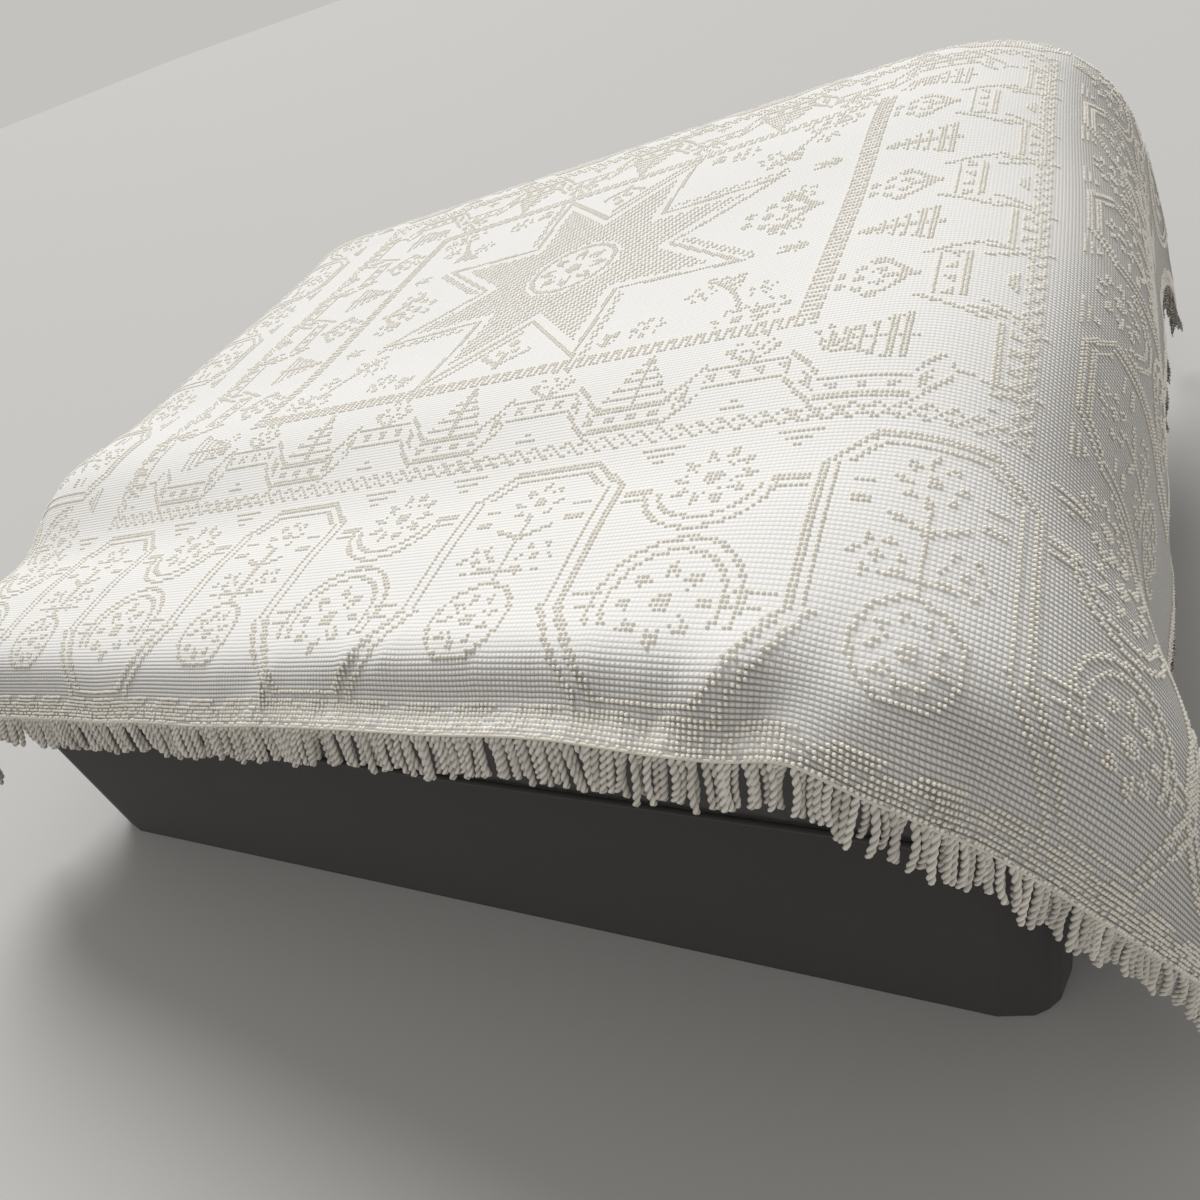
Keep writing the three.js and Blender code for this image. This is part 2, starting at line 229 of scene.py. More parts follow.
# shares of a flower's radius, but for gap, the wave's height below which a petal breaks off
petal = {"swing": 0.24, "line": 0.17, "gap": -0.35, "heart": 0.28}
firTree = {"bough": 0.0065, "boughEnd": 0.0125, "spread": 0.003, "root": -0.010, "top": 0.004}
posyPlant = {
    "bloomAt": 0.062,
    "bloom": 0.026,
    "stem": 0.040,
    "leafAt": 0.010,
    "leafRise": 0.75,
    "reach": 0.036,
    "budAt": 0.046,
    "bud": 0.0085,
}
tulipPlant = {"cupHalf": 0.010, "cup": (0.022, 0.044), "stem": 0.036, "leaf": 0.018}
sprayPlant = {
    "curve": 2.6,
    "stem": (-0.055, 0.085),
    "leaf": (-0.070, 0.020),
    "leafEdge": 0.004,
    "leafDeep": 0.046,
    "leafMiddle": -0.025,
    "leafHalf": 0.045,
    "tooth": 0.0105,
    # place along and beside the stem, radius and petals
    "blooms": ((0.104, 0.030, 0.036, 8), (0.045, -0.034, 0.020, 5), (-0.030, 0.036, 0.023, 6)),
}

# half sizes are from the middle of the pattern, along and across
star = {
    "tip": 0.394,
    "notch": 0.198,
    "teeth": (0.012, 0.027),     # how far outside the outline the saw teeth lie
    "teethReach": 0.414,
    "margin": 0.020,
    "ring": 0.084,
    "fillFrom": 0.096,
    "rose": 0.060,
}
meander = {"half": (0.505, 0.378), "deep": 0.0235}
chain = {"half": (0.790, 0.586), "swing": 0.0105, "period": 0.054, "room": 0.026}
triangle = {"base": -0.022, "peak": -0.048, "row": 0.0075}
ribbon = {
    "half": (0.728, 0.515),
    "swing": (0.042, 0.026),
    "period": (0.300, 0.306),
    "wide": 0.0175,
    "square": 2.4,         # how squarely the ribbon steps
    "flower": 0.033,
    "flowerHalf": 0.0135,
}

# outline of the octagons, by height from the hem
octagons = {
    "period": 0.470,
    "footPeriod": 0.407,
    "half": 0.112,
    "top": 0.404,
    "shoulder": 0.352,
    "waist": 0.160,
    "foot": 0.050,
    "footHalf": 0.052,
    "slant": 0.72,         # narrows the gap to a slanting side to about its square distance
    "innerLine": 0.0165,
}
# what stands in an octagon: heights from the hem, and distances from its middle
octagonPlant = {
    "bloom": (0.338, 0.033, 8),
    "stem": (0.200, 0.305),
    "leaves": ((0.268, 0.5, 0.040), (0.212, 0.2, 0.030)),    # height, rise and reach
    "sideBloom": (0.042, 0.232, 0.024, 6),
    "bars": (0.326, 0.300),
    "barReach": (0.054, 0.080),
    "rose": (0.142, 0.036, 9),
    "roseRing": (0.052, 0.090),        # radius, and the height it stops at
}
# the two roses between octagons
rosePair = {
    "rings": (0.064, 0.081),
    "upper": (0.338, 0.322),           # height of the rings' middle, and where they stop
    "lower": (0.160, 0.128),
    "flowers": ((0.345, 0.045, 10), (0.156, 0.045, 8)),
    "bars": (0.331, 0.314, 0.172, 0.155),
    "barFrom": 0.070,
    "margin": 0.012,
}
shoulderTriangle = {"out": 0.085, "high": (0.384, 0.412), "from": 0.380, "spread": 0.9, "row": 0.0078}
bandPlace = {"longFrom": 0.30, "longDeep": 0.415, "endRaise": 0.115, "endFrom": 0.36, "endDeep": 0.53}
cornerRose = {"at": (0.19, 0.21), "outer": 0.118, "inner": 0.100, "rose": 0.060, "reach": (0.34, 0.36)}
hemBand = {"rows": 0.032, "share": 0.74, "bars": (0.026, 0.040), "period": 0.080, "bar": 0.052}


def between(value, low, high):
    return (value > low) & (value < high)


def lines(value, stops):
    # fine lines where the value comes to one of the stops
    return np.any([np.abs(value - stop) < line["fine"] for stop in stops], axis=0)


def flower(x, y, radius, petals):
    r = np.hypot(x, y)
    wave = np.cos(petals * np.arctan2(y, x))
    ring = radius * (1 - petal["swing"] + petal["swing"] * wave)
    edge = (np.abs(r - ring) < radius * petal["line"]) & (wave > petal["gap"])
    return edge | (r < radius * petal["heart"])


def starGap(x, y):
    # signed distance to the star's outline, by its mirrored half wedge
    a = np.abs(np.mod(np.arctan2(y, x), math.pi / 4) - math.pi / 8)
    r = np.hypot(x, y)
    px, py = r * np.cos(a), r * np.sin(a)
    nx, ny = star["notch"] * math.cos(math.pi / 8), star["notch"] * math.sin(math.pi / 8)
    ex, ey = nx - star["tip"], ny
    return ((px - star["tip"]) * ey - py * ex) / math.hypot(ex, ey)


def fir(x, y, high, half):
    # boughs that widen towards the base at y = 0, with a stem
    reach = half * np.clip(1 - y / high, 0, 1)
    comb = np.mod(y, weave["comb"])
    boughs = (comb < firTree["bough"]) & (np.abs(x) < reach + firTree["spread"])
    ends = (np.abs(np.abs(x) - reach) < line["tip"]) & (comb < firTree["boughEnd"])
    stem = (np.abs(x) < line["fine"]) & between(y, firTree["root"], high + firTree["top"])
    return ((boughs | ends) & between(y, 0, high)) | stem


def posy(x, y, size):
    # a bloom on a leafy stem that starts at y = 0
    x, y = x / size, y / size
    ax = np.abs(x)
    bloom = flower(x, y - posyPlant["bloomAt"], posyPlant["bloom"], 6)
    stem = (ax < line["fine"]) & between(y, 0, posyPlant["stem"])
    leaves = np.abs(y - posyPlant["leafAt"] - ax * posyPlant["leafRise"]) < line["slant"]
    buds = np.hypot(ax - posyPlant["reach"], y - posyPlant["budAt"]) < posyPlant["bud"]
    return bloom | stem | (leaves & (ax < posyPlant["reach"])) | buds


def tulip(x, y):
    ax = np.abs(x)
    cup = (np.abs(ax - tulipPlant["cupHalf"]) < line["tip"]) & between(y, *tulipPlant["cup"])
    stem = (ax < line["stem"]) & between(y, 0, tulipPlant["stem"])
    leaves = (np.abs(y - ax) < line["tip"]) & (ax < tulipPlant["leaf"])
    return cup | stem | leaves


def spray(x, y, turn):
    # a curved stem with one combed leaf, a large bloom and two small ones
    c, n = math.cos(turn), math.sin(turn)
    u, v = x * c + y * n, -x * n + y * c
    bend = v - sprayPlant["curve"] * u * u
    tufts = (np.abs(bend) < line["leaf"]) & between(u, *sprayPlant["stem"])
    taper = 1 - np.abs(u - sprayPlant["leafMiddle"]) / sprayPlant["leafHalf"]
    leaf = between(u, *sprayPlant["leaf"])
    leaf &= between(bend, -sprayPlant["leafDeep"] * taper, sprayPlant["leafEdge"])
    tufts |= leaf & (np.mod(u, weave["comb"]) < sprayPlant["tooth"])
    for alongStem, beside, radius, petals in sprayPlant["blooms"]:
        tufts |= flower(u - alongStem, v - beside, radius, petals)
    return tufts


def bandGap(x, deep, period):
    # how far a place lies outside the octagons, whose outline runs on under the roses
    top, shoulder, waist, foot = (octagons[k] for k in ("top", "shoulder", "waist", "foot"))
    half = octagons["half"] - np.clip(deep - shoulder, 0, None)
    splay = (period / 2 - octagons["footHalf"] - octagons["half"]) / (waist - foot)
    half = half + np.clip(waist - deep, 0, waist - foot) * splay
    gap = (np.abs(x) - half) * np.where((deep > shoulder) | (deep < waist), octagons["slant"], 1.0)
    gap = np.maximum(gap, deep - top)
    return np.where(deep < waist, np.maximum(np.minimum(gap, deep - foot), -0.5), gap)


def octagonTufts(x, deep):
    # posies in the octagons, and a rose under them
    ax = np.abs(x)
    high, radius, petals = octagonPlant["bloom"]
    tufts = flower(x, deep - high, radius, petals)
    tufts |= (ax < line["fine"]) & between(deep, *octagonPlant["stem"])
    for high, rise, reach in octagonPlant["leaves"]:
        tufts |= (np.abs(deep - high - ax * rise) < line["leaf"]) & (ax < reach)
    out, high, radius, petals = octagonPlant["sideBloom"]
    tufts |= flower(ax - out, deep - high, radius, petals)
    tufts |= lines(deep, octagonPlant["bars"]) & between(ax, *octagonPlant["barReach"])
    high, radius, petals = octagonPlant["rose"]
    ring, stop = octagonPlant["roseRing"]
    tufts |= flower(x, deep - high, radius, petals)
    return tufts | (lines(np.hypot(x, deep - high), (ring,)) & (deep > stop))


def rosePairTufts(x, deep):
    # two roses one above the other between octagons
    high, stop = rosePair["upper"]
    tufts = lines(np.hypot(x, deep - high), rosePair["rings"]) & (deep < stop)
    high, stop = rosePair["lower"]
    tufts |= lines(np.hypot(x, deep - high), rosePair["rings"]) & (deep > stop)
    for high, radius, petals in rosePair["flowers"]:
        tufts |= flower(x, deep - high, radius, petals)
    tufts |= lines(deep, rosePair["bars"]) & (np.abs(x) > rosePair["barFrom"])
    # small triangles at the shoulders
    corner = np.abs(np.abs(x) - shoulderTriangle["out"])
    slant = corner < (deep - shoulderTriangle["from"]) * shoulderTriangle["spread"]
    rows = np.mod(deep, weave["row"]) < shoulderTriangle["row"]
    return tufts | (between(deep, *shoulderTriangle["high"]) & slant & rows)


def dropBand(along, deep, period):
    x = np.mod(along, period) - period / 2
    gap = bandGap(x, deep, period)
    tufts = (np.abs(gap) < line["outline"]) | lines(gap, (-octagons["innerLine"],))
    tufts |= octagonTufts(x, deep)
    x = np.mod(along + period / 2, period) - period / 2
    return tufts | (rosePairTufts(x, deep) & (gap > rosePair["margin"]))


def borderPattern(x, y, i, j):
    dot = line["fine"]
    ax, ay = np.abs(x), np.abs(y)
    # square meander round the star
    gapX, gapY = ax - meander["half"][0], ay - meander["half"][1]
    gap = np.maximum(gapX, gapY)
    phase = np.mod(np.where(gapX > gapY, j, i), 4)
    tufts = (np.abs(gap) < dot) & (phase < 3)
    tufts |= (np.abs(gap - meander["deep"]) < dot) & (phase != 1)
    tufts |= between(gap, 0, meander["deep"]) & (phase % 2 == 0)
    # chain of links between two lines
    chainX, chainY = ax - chain["half"][0], ay - chain["half"][1]
    gap = np.maximum(chainX, chainY)
    side = chainX > chainY
    along = np.where(side, y, x)
    wave = chain["swing"] * np.sin(2 * math.pi * along / chain["period"])
    tufts |= (np.abs(gap - wave) < dot) | (np.abs(gap + wave) < dot)
    # triangles that stand on the chain's inner side
    period = np.where(side, *ribbon["period"])
    cell = np.abs(np.mod(along + np.where(side, period / 2, 0), period) - period / 2)
    rows = np.mod(gap, weave["row"]) < triangle["row"]
    tufts |= between(gap, triangle["peak"], triangle["base"]) & (cell < gap - triangle["peak"]) & rows
    # ribbon that steps to and fro, with small flowers in it
    inX, inY = ax - ribbon["half"][0], ay - ribbon["half"][1]
    side = inX > inY
    gap = np.maximum(inX, inY)
    along = np.where(side, y, x)
    period = np.where(side, *ribbon["period"])
    turn = 2 * math.pi * along / period
    step = np.clip(ribbon["square"] * np.cos(turn), -1, 1)
    swing = np.where(side, *ribbon["swing"])
    rate = swing * ribbon["square"] * 2 * math.pi / period * np.abs(np.sin(turn))
    slope = np.where(np.abs(step) < 1, rate, 0)
    gap = (gap + np.where(side, swing, -swing) * step) / np.hypot(1, slope)
    tufts |= np.abs(np.abs(gap) - ribbon["wide"]) < dot
    cell = np.abs(np.mod(along, ribbon["flower"]) - ribbon["flower"] / 2)
    inside = cell + np.abs(gap) < ribbon["flowerHalf"]
    return tufts | (inside & (np.abs(cell - np.abs(gap)) < line["slant"]))


def gardenPattern(x, y):
    # firs and posies in turn, with their tops towards the star
    tufts = np.zeros(x.shape, bool)
    outerX, outerY = (h + meander["deep"] for h in meander["half"])
    deepX, deepY = np.abs(x) - outerX, np.abs(y) - outerY
    for k in range(-3, 4):
        acrossStep, alongStep = k * ribbon["period"][0] / 2, k * ribbon["period"][1] / 2
        if k % 2:
            tufts |= fir(y - acrossStep, 0.124 - deepX, 0.106, 0.052) & (np.abs(y) < outerY + 0.09)
            tufts |= posy(x - alongStep, 0.076 - deepY, 0.86)
        else:
            tufts |= posy(y - acrossStep, 0.120 - deepX, 1.25)
            tufts |= fir(x - alongStep, 0.120 - deepY, 0.106, 0.054)
    return tufts | posy(deepX - deepY, 0.110 - (deepX + deepY) / 1.4, 1.0)


def starPattern(x, y, i, j):
    gap = starGap(x, y)
    r = np.hypot(x, y)
    dashes = np.mod(i + j, 4) < 2
    # outline, saw teeth outside it on one flank of each point, and slanting dashes inside
    flank = np.mod(np.arctan2(y, x), math.pi / 4) < math.pi / 8
    tufts = np.abs(gap) < line["outline"]
    tufts |= between(gap, *star["teeth"]) & (r < star["teethReach"]) & flank & dashes
    tufts |= (gap < -star["margin"]) & (r > star["fillFrom"]) & dashes
    tufts |= (np.abs(r - star["ring"]) < line["ring"]) | flower(x, y, star["rose"], 8)
    # plants in the notches and sprays in the corners
    ax, ay = np.abs(x), np.abs(y)
    baseX, baseY = meander["half"][0] - 0.034, meander["half"][1] - 0.024
    plants = posy(x, baseY - ay, 1.35) | posy(y, baseX - ax, 1.55)
    plants |= flower(ay - 0.062, baseX - ax - 0.050, 0.026, 6)
    plants |= tulip(ax - 0.202, baseY - ay) | flower(ax - 0.262, ay - 0.318, 0.027, 8)
    plants |= spray(ax - 0.375, ay - 0.250, 0.95) | flower(ax - 0.455, ay - 0.330, 0.026, 7)
    plants |= tulip(ay - 0.150, baseX - ax)
    inside = (ax < meander["half"][0] - 0.010) & (ay < meander["half"][1] - 0.010)
    return tufts | (plants & inside & (gap > 0.036))


def hemPattern(s, t, deep):
    rows = (deep < hemBand["rows"]) & (dice.random(deep.shape) < hemBand["share"])
    bars = between(deep, *hemBand["bars"]) & (np.mod(s + t, hemBand["period"]) < hemBand["bar"])
    return rows | bars


def cornerPattern(fromLong, fromEnd):
    x, y = fromLong - cornerRose["at"][0], fromEnd - cornerRose["at"][1]
    r = np.hypot(x, y)
    tufts = np.abs(r - cornerRose["outer"]) < line["corner"]
    tufts |= lines(r, (cornerRose["inner"],)) | flower(x, y, cornerRose["rose"], 8)
    return tufts & (fromLong < cornerRose["reach"][0]) & (fromEnd < cornerRose["reach"][1])


alongCount = int(cloth["length"] / weave["alongPitch"])
acrossCount = int(cloth["width"] / weave["acrossPitch"])
tuftS = (np.arange(alongCount) + 0.5) * cloth["length"] / alongCount
tuftT = (np.arange(acrossCount) + 0.5) * cloth["width"] / acrossCount
gridS, gridT = np.meshgrid(tuftS, tuftT, indexing="ij")
columnIndex, rowIndex = np.meshgrid(np.arange(alongCount), np.arange(acrossCount), indexing="ij")
centreX = gridS - weave["centre"][0]
centreY = gridT - weave["centre"][1]
fromLong = np.minimum(gridT, cloth["width"] - gridT)
fromEnd = np.minimum(gridS, cloth["length"] - gridS)
insideChain = np.abs(centreX) < chain["half"][0] - chain["room"]
insideChain &= np.abs(centreY) < chain["half"][1] - chain["room"]
starTufts = starPattern(centreX, centreY, columnIndex, rowIndex)
starTufts |= gardenPattern(centreX, centreY) & insideChain
borderTufts = borderPattern(centreX, centreY, columnIndex, rowIndex)
dropLong = dropBand(centreX, fromLong, octagons["period"])
dropLong &= (fromEnd > bandPlace["longFrom"]) & (fromLong < bandPlace["longDeep"])
footPeriod = octagons["footPeriod"]
dropEnd = dropBand(centreY + footPeriod / 2, fromEnd - bandPlace["endRaise"], footPeriod)
dropEnd &= (fromLong > bandPlace["endFrom"]) & (fromEnd < bandPlace["endDeep"]) & ~dropLong
cornerTufts = cornerPattern(fromLong, fromEnd)
hemTufts = hemPattern(gridS, gridT, np.minimum(fromLong, fromEnd))
print("tufts: star", starTufts.sum(), "border", borderTufts.sum(), "long drops", dropLong.sum(),
      "end drops", dropEnd.sum(), "hem", hemTufts.sum())

# yarns and their materials

yarnLook = {
    "ground": (0.82, 0.81, 0.79, 1),
    # painted shade in the gaps between the ground's loops
    "groundGapShade": (0.27, 0.235, 0.18, 1),
    "tuft": (0.90, 0.865, 0.775, 1),
    "tuftPale": (0.94, 0.92, 0.865, 1),
    # painted shade at the foot of each tuft
    "tuftFootShade": (0.30, 0.255, 0.18, 1),
    "fringe": (0.80, 0.765, 0.70, 1),
    # random darker tone of the fringe, and painted shade in the groove between its plies
    "fringeToneAndGrooveShade": (0.26, 0.235, 0.195, 1),
    "hem": (0.78, 0.735, 0.64, 1),
    "bed": (0.075, 0.072, 0.070, 1),
    "base": (0.050, 0.048, 0.047, 1),
    "closed": 0.24,        # depth of the painted gap shade and of the ground's relief on the flat top, as a share of that on the drops
}

finish = {"rough": 0.92, "specular": 0.12, "sheen": 0.12, "sheenRough": 0.6, "noiseRough": 0.6}
loop = {"relief": 0.0034, "shade": 1.9, "least": 0.80, "spread": 0.30, "narrow": 0.9, "floor": 0.35}
fibre = {"ground": 1400, "tuft": 1100, "fringe": 900, "hem": 700, "base": 420, "ticking": 500}


def newMaterial(name):
    material = bpy.data.materials.new(name)
    material.use_nodes = True
    return material, material.node_tree, material.node_tree.nodes["Principled BSDF"]


def calc(tree, operation, first, second=None):
    node = tree.nodes.new("ShaderNodeMath")
    node.operation = operation
    for k, value in enumerate((first, second)):
        if value is None:
            continue
        if isinstance(value, (int, float)):
            node.inputs[k].default_value = value
        else:
            tree.links.new(value, node.inputs[k])
    return node.outputs[0]


def mixColour(tree, factor, first, second):
    node = tree.nodes.new("ShaderNodeMix")
    node.data_type = "RGBA"
    tree.links.new(factor, node.inputs["Factor"])
    for socket, value in (("A", first), ("B", second)):
        target = [s for s in node.inputs if s.name == socket and s.type == "RGBA"][0]
        if isinstance(value, tuple):
            target.default_value = value
        else:
            tree.links.new(value, target)
    return [s for s in node.outputs if s.type == "RGBA"][0]


def noiseNode(tree, scale, detail=3.0):
    node = tree.nodes.new("ShaderNodeTexNoise")
    node.inputs["Scale"].default_value = scale
    node.inputs["Detail"].default_value = detail
    node.inputs["Roughness"].default_value = finish["noiseRough"]
    spot = tree.nodes.new("ShaderNodeTexCoord")
    tree.links.new(spot.outputs["Object"], node.inputs["Vector"])
    return node.outputs[0]


def markNode(tree, name):
    # a value that the mesh carries at its vertices
    node = tree.nodes.new("ShaderNodeAttribute")
    node.attribute_name = name
    return node.outputs["Fac"]


def mapNode(tree, name):
    layout = tree.nodes.new("ShaderNodeUVMap")
    layout.uv_map = name
    split = tree.nodes.new("ShaderNodeSeparateXYZ")
    tree.links.new(layout.outputs[0], split.inputs[0])
    return layout.outputs[0], split.outputs[0], split.outputs[1]


def bumpNode(tree, height, distance, strength=1.0, normal=None):
    node = tree.nodes.new("ShaderNodeBump")
    node.inputs["Distance"].default_value = distance
    node.inputs["Strength"].default_value = strength
    tree.links.new(height, node.inputs["Height"])
    if normal is not None:
        tree.links.new(normal, node.inputs["Normal"])
    return node.outputs[0]


def clothFinish(shader):
    shader.inputs["Roughness"].default_value = finish["rough"]
    shader.inputs["Specular IOR Level"].default_value = finish["specular"]
    shader.inputs["Sheen Weight"].default_value = finish["sheen"]
    shader.inputs["Sheen Roughness"].default_value = finish["sheenRough"]


def gapNode(tree):
    # painted shade in the gaps between loops, and the ground's bump relief, run deeper where the cloth
    # hangs than on the flat top
    reach = calc(tree, "MULTIPLY", markNode(tree, "hangShare"), 1 - yarnLook["closed"])
    return calc(tree, "ADD", reach, yarnLook["closed"])


def groundMaterial():
    # rows of small loops, one to each count of the weave map
    material, tree, shader = newMaterial("woven ground")
    clothFinish(shader)
    layout, countS, countT = mapNode(tree, "weave")

    def swell(count, power, floor):
        part = calc(tree, "FRACT", count)
        wave = calc(tree, "SINE", calc(tree, "MULTIPLY", part, math.pi))
        wave = calc(tree, "POWER", wave, power)
        return calc(tree, "ADD", calc(tree, "MULTIPLY", wave, 1 - floor), floor)

    cell = tree.nodes.new("ShaderNodeVectorMath")
    cell.operation = "FLOOR"
    tree.links.new(layout, cell.inputs[0])
    chance = tree.nodes.new("ShaderNodeTexWhiteNoise")
    tree.links.new(cell.outputs[0], chance.inputs["Vector"])
    acrossSwell = swell(countT, 1.0, 0.0)
    alongSwell = swell(countS, loop["narrow"], loop["floor"])
    height = calc(tree, "MULTIPLY", acrossSwell, alongSwell)
    size = calc(tree, "MULTIPLY", chance.outputs["Value"], loop["spread"])
    size = calc(tree, "ADD", size, loop["least"])
    height = calc(tree, "MULTIPLY", height, size)
    gap = gapNode(tree)
    relief = calc(tree, "MULTIPLY", height, gap)
    soft = bumpNode(tree, noiseNode(tree, fibre["ground"], 2.0), 0.0003, 0.5)
    tree.links.new(bumpNode(tree, relief, loop["relief"], 1.0, soft), shader.inputs["Normal"])
    # painted shade: the ground's colour darkens in the gaps between the loops, deeper where the cloth hangs
    shade = calc(tree, "MULTIPLY", height, loop["shade"])
    shade = calc(tree, "SUBTRACT", 1.0, shade)
    shade = calc(tree, "MULTIPLY", calc(tree, "MAXIMUM", shade, 0.0), gap)
    colour = mixColour(tree, shade, yarnLook["ground"], yarnLook["groundGapShade"])
    tree.links.new(colour, shader.inputs["Base Color"])
    return material


def tuftMaterial():
    material, tree, shader = newMaterial("tuft yarn")
    clothFinish(shader)
    colour = mixColour(tree, markNode(tree, "tint"), yarnLook["tuft"], yarnLook["tuftPale"])
    # painted shade: each tuft darkens towards its foot, where it meets the ground, deeper where the cloth
    # hangs
    depth = calc(tree, "SUBTRACT", 1.0, markNode(tree, "rise"))
    depth = calc(tree, "MULTIPLY", depth, gapNode(tree))
    colour = mixColour(tree, depth, colour, yarnLook["tuftFootShade"])
    tree.links.new(colour, shader.inputs["Base Color"])
    fuzz = noiseNode(tree, fibre["tuft"])
    tree.links.new(bumpNode(tree, fuzz, 0.0006, 0.8), shader.inputs["Normal"])
    return material


def fringeMaterial():
    # two plies with a groove between them, in the bump and as painted shade in the colour, by the strand's
    # own map
    material, tree, shader = newMaterial("twisted fringe")
    clothFinish(shader)
    _, turnShare, lengthShare = mapNode(tree, "strand")
    around = calc(tree, "MULTIPLY", turnShare, 2 * math.pi)
    ply = calc(tree, "ABSOLUTE", calc(tree, "COSINE", around))
    length = calc(tree, "MULTIPLY", lengthShare, 40 * math.pi)
    fine = calc(tree, "ADD", calc(tree, "MULTIPLY", around, 6), length)
    fine = calc(tree, "MULTIPLY", calc(tree, "SINE", fine), 0.03)
    height = calc(tree, "ADD", ply, fine)
    soft = bumpNode(tree, noiseNode(tree, fibre["fringe"], 2.0), 0.0003, 0.4)
    tree.links.new(bumpNode(tree, height, 0.0009, 0.6, soft), shader.inputs["Normal"])
    # painted shade: the colour darkens into the groove between the plies; the tint adds random tone
    crest = calc(tree, "POWER", ply, 0.6)
    light = calc(tree, "MULTIPLY", markNode(tree, "tint"), crest)
    colour = mixColour(tree, light, yarnLook["fringeToneAndGrooveShade"], yarnLook["fringe"])
    tree.links.new(colour, shader.inputs["Base Color"])
    return material


def plainCloth(name, colour, scale):
    material, tree, shader = newMaterial(name)
    clothFinish(shader)
    shader.inputs["Roughness"].default_value = 0.9
    broad = noiseNode(tree, 6)
    deep = tuple(c * 0.82 for c in colour[:3]) + (1,)
    tree.links.new(mixColour(tree, broad, deep, colour), shader.inputs["Base Color"])
    thread = noiseNode(tree, scale)
    tree.links.new(bumpNode(tree, thread, 0.0008, 0.7), shader.inputs["Normal"])
    return material


groundYarn = groundMaterial()
tuftYarn = tuftMaterial()
fringeYarn = fringeMaterial()
print("materials ready")

# the ground cloth


def place(name, data):
    obj = bpy.data.objects.new(name, data)
    bpy.context.scene.collection.objects.link(obj)
    return obj


def addObject(name, bm, materials):
    mesh = bpy.data.meshes.new(name)
    bm.to_mesh(mesh)
    bm.free()
    for material in materials:
        mesh.materials.append(material)
    return place(name, mesh)


def turnUp(bm):
    bmesh.ops.recalc_face_normals(bm, faces=bm.faces)
    if sum(face.normal.z for face in bm.faces) < 0:
        bmesh.ops.reverse_faces(bm, faces=bm.faces)


def gapOpening(normals):
    # 0 where the cloth lies flat, 1 where it hangs; it sets how deep the painted gap shade runs
    return ease((0.985 - normals[..., 2]) / 0.40)


def makeBedspread():
    cellsS, cellsT = cloth["cells"]
    bm = bmesh.new()
    bmesh.ops.create_grid(bm, x_segments=cellsS, y_segments=cellsT, size=0.5)
    alongStops = np.linspace(0, cloth["length"], cellsS + 1)
    places, normals = hangCloth(alongStops, np.linspace(0, cloth["width"], cellsT + 1))
    weaveMap = bm.loops.layers.uv.new("weave")
    # how far the cloth hangs, which deepens the painted gap shade and the ground's relief
    hangShare = bm.verts.layers.float.new("hangShare")
    hangShares = gapOpening(normals)
    flat = {}
    for vert in bm.verts:
        i = round((0.5 - vert.co.x) * cellsS)
        j = round((vert.co.y + 0.5) * cellsT)
        flat[vert.index] = (i / cellsS * alongCount, j / cellsT * acrossCount)
        vert.co = places[i, j]
        vert[hangShare] = hangShares[i, j]
    for face in bm.faces:
        for loop in face.loops:
            loop[weaveMap].uv = flat[loop.vert.index]
    turnUp(bm)
    obj = addObject("bedspreadCloth", bm, [groundYarn])
    obj.data.shade_smooth()
    wall = obj.modifiers.new("thickness", "SOLIDIFY")
    wall.thickness = cloth["thick"]
    wall.offset = 0
    return obj


bedspread = makeBedspread()
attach(bedspread, "root")
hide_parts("bedspread")
print("cloth hung")

# tufts on the ground

tuftSize = {"along": 0.00265, "across": 0.00255, "high": 0.0038, "sink": 0.0005}
tuftLoose = {"swing": 0.16, "shift": 0.0003, "size": (0.88, 1.12)}
domeShape = {"crown": 0.80, "side": 0.60, "peak": 0.40, "riseRate": 1.6}


def makeDome(sides):
    # a bead one unit high that narrows upwards; rise is 0 at its foot and 1 near its top
    bm = bmesh.new()
    bmesh.ops.create_cone(bm, cap_ends=False, segments=sides, radius1=1.0,
                          radius2=domeShape["crown"], depth=domeShape["side"])
    rim = [e for e in bm.edges if e.verts[0].co.z > 0 and e.verts[1].co.z > 0]
    crown = bmesh.ops.holes_fill(bm, edges=rim, sides=0)["faces"]
    peak = bmesh.ops.poke(bm, faces=crown)["verts"]
    bmesh.ops.translate(bm, verts=peak, vec=(0, 0, domeShape["peak"]))
    bmesh.ops.translate(bm, verts=bm.verts, vec=(0, 0, domeShape["side"] / 2))
    rise = bm.verts.layers.float.new("rise")
    for vert in bm.verts:
        vert[rise] = min(1, vert.co.z * domeShape["riseRate"])
    turnUp(bm)
    return addObject("tuftDome", bm, [])


def eulerFrom(sides, fronts, ups):
    # columns side, front and up of each turn, as XYZ angles
    pitch = np.arcsin(np.clip(-sides[:, 2], -1, 1))
    roll = np.arctan2(fronts[:, 2], ups[:, 2])
    yaw = np.arctan2(sides[:, 1], sides[:, 0])
    return np.stack([roll, pitch, yaw], 1)


def turnAbout(sides, fronts, angle):
    # both ways turned about the up way
    c, n = np.cos(angle), np.sin(angle)
    return sides * c + fronts * n, fronts * c - sides * n


